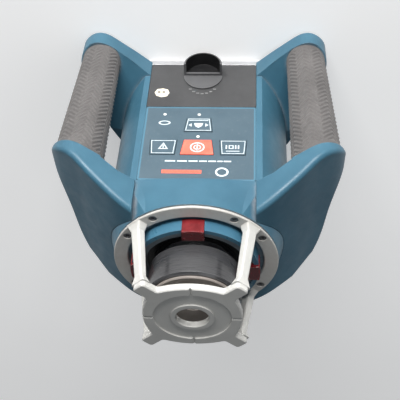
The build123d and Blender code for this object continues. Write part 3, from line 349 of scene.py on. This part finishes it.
ASSIGN = {
    "housing": ["front_housing", "rear_housing"],
    "handle": ["right_handle", "left_handle"],
    "neck": ["neck_collar"],
    "cage": ["cage"],
    "base": ["base_plate", "rear_mount_plate"],
    "brass": ["base_thread_insert", "rear_thread_insert"],
    "screw": ["cage_screws", "plate_screws", "housing_screws"],
    "rubber": ["rear_feet", "door_seal", "drive_belt", "right_grip", "left_grip"],
    "panel": ["control_panel"],
    "power": ["power_key"],
    "key": ["mode_key", "left_key", "right_key"],
    "lens": ["status_lights"],
    "door": ["battery_door"],
    "latch": ["door_latch"],
    "black": ["battery_tray", "battery_bay", "prism_holder", "rotor_pulley", "motor_pulley",
              "ir_receivers"],
    "cell": ["left_cell", "right_cell"],
    "steel": ["battery_springs", "battery_contacts", "spindle_bearings", "gimbal_pins", "spindle",
              "level_screw_x", "level_screw_y"],
    "window": ["ir_windows"],
    "cover": ["neck_cover"],
    "drum": ["rotor_drum"],
    "cap": ["rotor_cap"],
    "glass": ["rotor_windows", "pentaprism", "collimator_lens", "tilt_sensors"],
    "board": ["main_board"],
    "diecast": ["gimbal_ring", "gimbal_brackets", "bearing_housing", "motor_plate", "collimator_barrel"],
    "motor": ["spin_motor", "level_motors", "laser_diode_module"],
    "nylon": ["level_nut_x", "level_nut_y"],
}
for key, names in ASSIGN.items():
    for name in names:
        data = nodes[name].data
        if not data.materials:
            data.materials.append(mats[key])
        for index in range(len(data.materials)):
            data.materials[index] = mats[key]


# ---------------------------------------------------------------- mesh helpers
def new_object(name, mesh, material, body):
    obj = bpy.data.objects.new(name, mesh)
    scene.collection.objects.link(obj)
    mesh.materials.append(material)
    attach(obj, body)
    return obj


def from_faces(name, verts, faces, material, body, smooth=True):
    mesh = bpy.data.meshes.new(name)
    mesh.from_pydata([Vector(v) * MM for v in verts], [], faces)
    mesh.update()
    bm = bmesh.new()
    bm.from_mesh(mesh)
    bmesh.ops.recalc_face_normals(bm, faces=bm.faces)
    bm.to_mesh(mesh)
    bm.free()
    for poly in mesh.polygons:
        poly.use_smooth = smooth
    return new_object(name, mesh, material, body)


# ---------------------------------------------------------------- rubber grips with moulded chevrons
m = Maker("grip_rubber")
drift = m.ramp(m.noise(0.05, 5.0, 0.6), 0.32, 0.68)
base = m.mix(drift, (0.074, 0.069, 0.068), (0.106, 0.099, 0.097))
dusty = m.ramp(m.noise(0.8, 6.0, 0.75), 0.52, 0.72)
base = m.mix(m.math("MULTIPLY", dusty, 0.35), base, (0.21, 0.195, 0.188))
# paler grip rims: partly scuffing, partly painted highlight
base = m.mix(m.math("MULTIPLY", m.edges(0.5), 0.35), base, (0.19, 0.18, 0.175))
m.bump(m.noise(2.4, 3.0, 0.6), 0.05, 1.0)
mats["grip"] = m.set(color=base, rough=m.ramp(m.noise(0.3, 4.0), 0.3, 0.7, 0.62, 0.82), sheen=0.2)

GRIP_LOW = Vector((69.0, -52.5, 12.3))
GRIP_HIGH = Vector((73.5, -43.5, 112.0))
GRIP_R = (12.7, 16.0)
CORE_R = (8.06, 10.06)
CUT_POINT = Vector((73.0, -45.0, 101.85))
CUT_SLOPE = math.radians(19.4)
CUT_NORMAL = Vector((math.sin(CUT_SLOPE), 0.0, math.cos(CUT_SLOPE)))
CHEVRON_PITCH = 3.3
CHEVRON_COLUMNS = 14
CHEVRON_DEPTH = 0.42


def chevron(turn, run, radius):
    """Height of the moulded pattern at an angle (0..1 of a turn) and a distance along the grip in mm."""
    column = turn * CHEVRON_COLUMNS
    inside = column - math.floor(column)
    slope = 1.0 if int(math.floor(column)) % 2 else -1.0
    width = 2 * math.pi * radius / CHEVRON_COLUMNS
    phase = (run + slope * (inside - 0.5) * width * 0.9) / CHEVRON_PITCH
    wave = 0.5 + 0.5 * math.cos(2 * math.pi * phase)
    return min(1.0, max(0.0, (wave - 0.25) / 0.5))


def make_grip(name, side):
    around, along = 224, 300
    verts, faces = [], []
    axis = GRIP_HIGH - GRIP_LOW

    def point(turn, share, radii, drop):
        centre = GRIP_LOW + axis * share
        radius = radii[0] + (radii[1] - radii[0]) * share - drop
        angle = 2 * math.pi * turn
        return centre + Vector((math.cos(angle), math.sin(angle), 0)) * radius

    def top_share(turn, radii):
        below = (point(turn, 0.0, radii, 0.0) - CUT_POINT).dot(CUT_NORMAL)
        above = (point(turn, 1.0, radii, 0.0) - CUT_POINT).dot(CUT_NORMAL)
        return below / (below - above)

    for i in range(around):
        turn = i / around
        end = top_share(turn, GRIP_R)
        for j in range(along + 1):
            share = end * j / along
            run = share * axis.length
            edge = min(run, (end - share) * axis.length)
            fade = min(1.0, max(0.0, (edge - 3.0) / 1.5))
            rounding = max(0.0, 1.0 - edge / 1.0) ** 2 * 0.5
            radius = GRIP_R[0] + (GRIP_R[1] - GRIP_R[0]) * share
            drop = CHEVRON_DEPTH * fade * (1.0 - chevron(turn, run, radius)) + rounding
            p = point(turn, share, GRIP_R, drop)
            verts.append((p.x * side, p.y, p.z))
    rows = along + 1
    inner = len(verts)
    for i in range(around):
        turn = i / around
        end = top_share(turn, CORE_R)
        for share in (0.0, end):
            p = point(turn, share, CORE_R, 0.0)
            verts.append((p.x * side, p.y, p.z))
    for i in range(around):
        k = (i + 1) % around
        for j in range(along):
            faces.append((i * rows + j, k * rows + j, k * rows + j + 1, i * rows + j + 1))
        faces.append((i * rows, inner + 2 * i, inner + 2 * k, k * rows))
        faces.append((i * rows + along, k * rows + along, inner + 2 * k + 1, inner + 2 * i + 1))
        faces.append((inner + 2 * i, inner + 2 * i + 1, inner + 2 * k + 1, inner + 2 * k))
    grip = from_faces(name + "_sleeve", verts, faces, mats["grip"], "housing")
    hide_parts(name)


make_grip("right_grip", 1.0)
make_grip("left_grip", -1.0)

# ---------------------------------------------------------------- printed marks
def print_ink(name, dark, light, rough=0.45):
    ink = Maker(name)
    patchy_mask = ink.ramp(ink.noise(1.1, 5.0, 0.7), 0.35, 0.7)
    ink.bump(ink.noise(5.0, 2.0), 0.004)
    return ink.set(color=ink.mix(patchy_mask, light, dark), rough=rough)


WHITE_INK = print_ink("white_ink", (0.46, 0.55, 0.60), (0.72, 0.78, 0.80))
RED_INK = print_ink("red_ink", (0.60, 0.10, 0.07), (0.80, 0.16, 0.10))
CREAM_LABEL = print_ink("cream_label", (0.62, 0.55, 0.42), (0.86, 0.80, 0.66), 0.6)
DARK_INK = print_ink("dark_ink", (0.05, 0.04, 0.035), (0.10, 0.08, 0.07))
DOOR_DASH_HIGHLIGHT = print_ink("door_dash_highlight", (0.12, 0.12, 0.12), (0.21, 0.21, 0.21), 0.5)
INK_T = 0.05
PANEL_FACE_Y = -42.0
KEY_FACE_Y = -42.35
DOOR_FACE_Y = -42.0


def plate(name, loops, face_y, ink, body, lift=0.01):
    """Flat printed shapes standing on a face: each loop is an outline, or an outer and an inner outline."""
    verts, faces = [], []
    back, front = face_y - lift, face_y - lift - INK_T
    for outer, inner in loops:
        n = len(outer)
        start = len(verts)
        if inner is None:
            for y in (back, front):
                verts += [(x, y, z) for x, z in outer]
            faces.append(tuple(start + n + k for k in range(n)))
            faces.append(tuple(start + k for k in reversed(range(n))))
            for k in range(n):
                j = (k + 1) % n
                faces.append((start + k, start + j, start + n + j, start + n + k))
            continue
        for y in (back, front):
            verts += [(x, y, z) for x, z in outer] + [(x, y, z) for x, z in inner]
        for k in range(n):
            j = (k + 1) % n
            ob, ib, of, inf = start, start + n, start + 2 * n, start + 3 * n
            faces.append((of + k, of + j, inf + j, inf + k))
            faces.append((ob + j, ob + k, ib + k, ib + j))
            faces.append((ob + k, ob + j, of + j, of + k))
            faces.append((ib + j, ib + k, inf + k, inf + j))
    return from_faces(name, verts, faces, ink, body, smooth=False)


def framed(points, width):
    """An outline and the same outline drawn in by a line width."""
    n = len(points)
    inner = []
    for k in range(n):
        p, q, r = (Vector(points[(k + d) % n]) for d in (-1, 0, 1))
        a, b = (q - p).normalized(), (r - q).normalized()
        na, nb = Vector((-a.y, a.x)), Vector((-b.y, b.x))
        bisector = (na + nb).normalized()
        inner.append(tuple(q + bisector * (width / max(0.3, bisector.dot(na)))))
    return [tuple(v) for v in points], inner


def disc(cx, cz, rx, rz, n=28):
    turns = [2 * math.pi * k / n for k in range(n)]
    return [(cx + rx * math.cos(turn), cz + rz * math.sin(turn)) for turn in turns]


def bar(cx, cz, half_w, half_h):
    corners = ((-1, -1), (1, -1), (1, 1), (-1, 1))
    return [(cx + side * half_w, cz + rise * half_h) for side, rise in corners]


def pad_frame(cx, cz, high, low, half, inset=0.7, width=0.45):
    h, l, k = high - inset, low - inset, half - inset
    return framed([(cx - l, cz - k), (cx + l, cz - k), (cx + h, cz + k), (cx - h, cz + k)], width)


def icon(name, loops, body):
    return plate(name, loops, KEY_FACE_Y, WHITE_INK, body)


icon("right_pad_mark", [
    pad_frame(22.2, 86.6, 7.6, 8.4, 6.4),
    framed([(22.0, 82.8), (25.2, 88.6), (18.8, 88.6)], 0.75),
    (bar(22.0, 86.5, 0.35, 1.0), None),
], "right_button")
icon("left_pad_mark", [
    pad_frame(-21.8, 86.6, 7.6, 8.4, 6.4),
    (bar(-25.2, 86.4, 0.45, 1.6), None), (bar(-23.4, 86.4, 0.45, 1.6), None),
    framed(bar(-20.6, 86.4, 1.5, 1.6), 0.6), (bar(-17.6, 86.4, 0.45, 1.6), None),
    (bar(-21.6, 90.0, 4.2, 0.28), None),
], "left_button")
icon("mode_pad_mark", [
    pad_frame(0.8, 66.2, 9.0, 7.6, 6.2),
    ([(-2.2, 64.8), (3.8, 64.8), (3.0, 67.6), (0.8, 69.2), (-1.4, 67.6)], None),
    ([(-5.6, 66.6), (-3.6, 65.0), (-3.6, 68.2)], None),
    ([(7.2, 66.6), (5.2, 68.2), (5.2, 65.0)], None),
    (bar(0.8, 62.3, 6.2, 0.28), None),
], "mode_button")
icon("power_pad_mark", [
    (disc(0.6, 86.8, 4.6, 4.3), disc(0.6, 86.8, 3.75, 3.45)),
    (disc(0.6, 86.8, 2.4, 2.2), disc(0.6, 86.8, 1.75, 1.55)),
    (bar(0.6, 86.8, 0.4, 2.9), None),
], "power_button")


def panel_mark(name, loops, ink=WHITE_INK):
    return plate(name, loops, PANEL_FACE_Y, ink, "housing")


panel_mark("oval_mark", [(disc(22.9, 64.3, 3.9, 2.0), disc(22.9, 64.3, 2.8, 1.35))])
# plain dashes and a plain dot stand where the printed words were
dashes = [(bar(x, 98.6, w, 0.55), None) for x, w in (
    (-18.6, 2.3), (-14.0, 1.6), (-9.2, 2.4), (-3.6, 2.4), (2.6, 2.8), (9.4, 3.0), (16.8, 3.2))]
panel_mark("white_dashes", dashes)
panel_mark("red_bars", [(bar(9.2, 107.6, 12.2, 1.5), None)], RED_INK)
panel_mark("white_dot", [(disc(-15.4, 107.6, 4.1, 3.8), disc(-15.4, 107.6, 2.9, 2.6))])

# paper label and moulded dashes on the battery door; the dashes are drawn a lighter grey as a painted
# highlight
label = [
    (23.2, 31.6), (26.6, 30.4), (30.4, 31.2), (32.0, 34.6),
    (30.6, 37.8), (27.2, 39.4), (23.4, 38.4), (22.0, 35.0),
]
plate("door_label", [(label, None)], DOOR_FACE_Y, CREAM_LABEL, "battery_pack")
plate("door_label_dots", [(disc(29.0, 34.2, 1.1, 0.8, 14), None), (disc(25.8, 34.2, 1.1, 0.8, 14), None)],
      DOOR_FACE_Y, DARK_INK, "battery_pack", lift=0.07)
# painted highlight: lighter grey where the raised dashes would catch the light
plate("door_dashes", [(bar(12.0 * math.sin(a), 18.1 + 17.5 * math.cos(a), 1.0, 0.5), None)
                      for a in (-0.75, -0.5, -0.25, 0.0, 0.25, 0.5, 0.75)],
      DOOR_FACE_Y, DOOR_DASH_HIGHLIGHT, "battery_pack")


# ---------------------------------------------------------------- floor, light, camera
floor_mesh = bpy.data.meshes.new("floor")
FLOOR_HALF = 6.0
floor_corners = [(x * FLOOR_HALF, y * FLOOR_HALF, 0) for x, y in ((-1, -1), (1, -1), (1, 1), (-1, 1))]
floor_mesh.from_pydata(floor_corners, [], [(0, 1, 2, 3)])
floor = bpy.data.objects.new("floor", floor_mesh)
scene.collection.objects.link(floor)
m = Maker("floor_pale")
m.shader.inputs["Emission Color"].default_value = (1.0, 1.0, 1.0, 1.0)
m.shader.inputs["Emission Strength"].default_value = 0.36
tone = m.mix(m.ramp(m.noise(0.004, 3.0), 0.3, 0.7), (0.78, 0.78, 0.78), (0.84, 0.84, 0.84))
floor_mesh.materials.append(m.set(color=tone, rough=0.7))

world = bpy.data.worlds.new("studio")
world.use_nodes = True
world.node_tree.nodes["Background"].inputs["Color"].default_value = (0.90, 0.95, 1.0, 1.0)
world.node_tree.nodes["Background"].inputs["Strength"].default_value = 0.15
scene.world = world
scene.view_settings.view_transform = "Standard"


def area_light(name, place, target, size, power, tint=(1.0, 1.0, 1.0)):
    data = bpy.data.lights.new(name, "AREA")
    data.shape = "RECTANGLE"
    data.size, data.size_y = size
    data.energy = power
    data.color = tint
    light = bpy.data.objects.new(name, data)
    light.location = place
    light.rotation_mode = "QUATERNION"
    light.rotation_quaternion = (Vector(target) - Vector(place)).to_track_quat("-Z", "Y")
    scene.collection.objects.link(light)


MIDDLE = (0.0, 0.0, 0.09)
area_light("key", (0.10, -1.40, 0.22), MIDDLE, (1.0, 0.55), 39.0, (1.0, 0.995, 0.98))
area_light("head_fill", (-0.6, -0.4, 1.3), MIDDLE, (1.0, 1.0), 2.4, (0.95, 0.98, 1.0))

camera_data = bpy.data.cameras.new("camera")
camera = bpy.data.objects.new("camera", camera_data)
scene.collection.objects.link(camera)
EYE = Vector((-0.0294, -0.3750, 0.4223))
PHOTO_RIGHT = Vector((-0.99983, 0.0, -0.01842))
AIM = Vector((0.0, 0.0, 0.0935))
view_dir = (AIM - EYE).normalized()
right = (PHOTO_RIGHT - view_dir * PHOTO_RIGHT.dot(view_dir)).normalized()
up = right.cross(view_dir).normalized()
camera.matrix_world = Matrix.Translation(EYE) @ Matrix((right, up, -view_dir)).transposed().to_4x4()
camera_data.sensor_width = 36.0
camera_data.lens = 68.0
camera_data.clip_start = 0.01
scene.camera = camera
